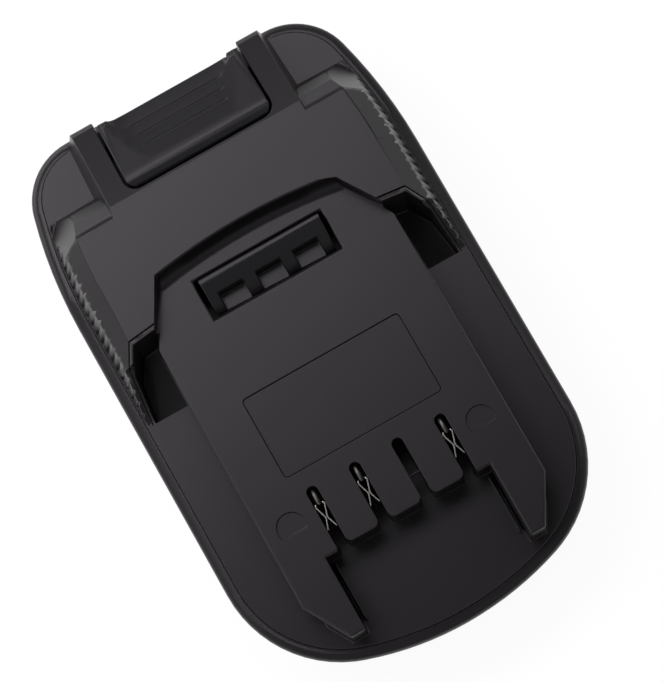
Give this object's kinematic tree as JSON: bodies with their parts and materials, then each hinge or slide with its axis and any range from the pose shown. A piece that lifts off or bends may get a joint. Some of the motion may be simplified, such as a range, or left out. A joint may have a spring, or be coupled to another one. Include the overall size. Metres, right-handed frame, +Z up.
{
  "type": "tool battery adapter",
  "caption": "Black slide-on adapter with a grooved tongue, terminal slots and a sprung release latch on top and a pack channel with blades below, joining a pack to a tool of another foot.",
  "frame": {"origin": "centre of the bounding box at the bottom edge of the skirt, where the adapter stands", "axes": "+Z up from the pack channel to the tongue, +Y towards the release button, +X to the right seen from the terminal end with the tongue up"},
  "size_m": [0.076, 0.1212, 0.0375],
  "materials": {
    "housing_black": "fine matte texture",
    "latch_black": "satin",
    "spring_steel": "bright drawn wire",
    "nickel_contact": "bright nickel plate",
    "carrier_grey": "matte",
    "block_black": "matte",
    "nickel_blade": "nickel plate",
    "wire_red": "satin",
    "wire_black": "satin",
    "sleeve_red": "matte",
    "sleeve_black": "matte",
    "resistor_glaze": "glazed",
    "screw_steel": "zinc plate",
    "label_black": "plain film"
  },
  "bodies": {
    "housing": {"lower_housing": "housing_black", "upper_housing": "housing_black", "latch_spring_left": "spring_steel", "latch_spring_right": "spring_steel", "contact_positive": "nickel_contact", "contact_negative": "nickel_contact", "contact_data": "nickel_contact", "contact_carrier": "carrier_grey", "battery_terminal_block": "block_black", "blade_positive": "nickel_blade", "blade_negative": "nickel_blade", "positive_wire": "wire_red", "negative_wire": "wire_black", "positive_sleeve": "sleeve_red", "negative_sleeve": "sleeve_black", "sense_resistor": "resistor_glaze", "housing_screws": "screw_steel", "terminal_block_screws": "screw_steel", "label_plate": "label_black"},
    "latch": {"release_latch": "latch_black"}
  },
  "joints": [
    {"name": "latch_press", "type": "slide", "parent": "housing", "child": "latch", "axis": [0, 0, -1], "range_m": [0, 0.004], "stiffness_N_per_m": 600, "springref_m": -0.004, "deforming": ["latch_spring_left", "latch_spring_right"]}
  ]
}
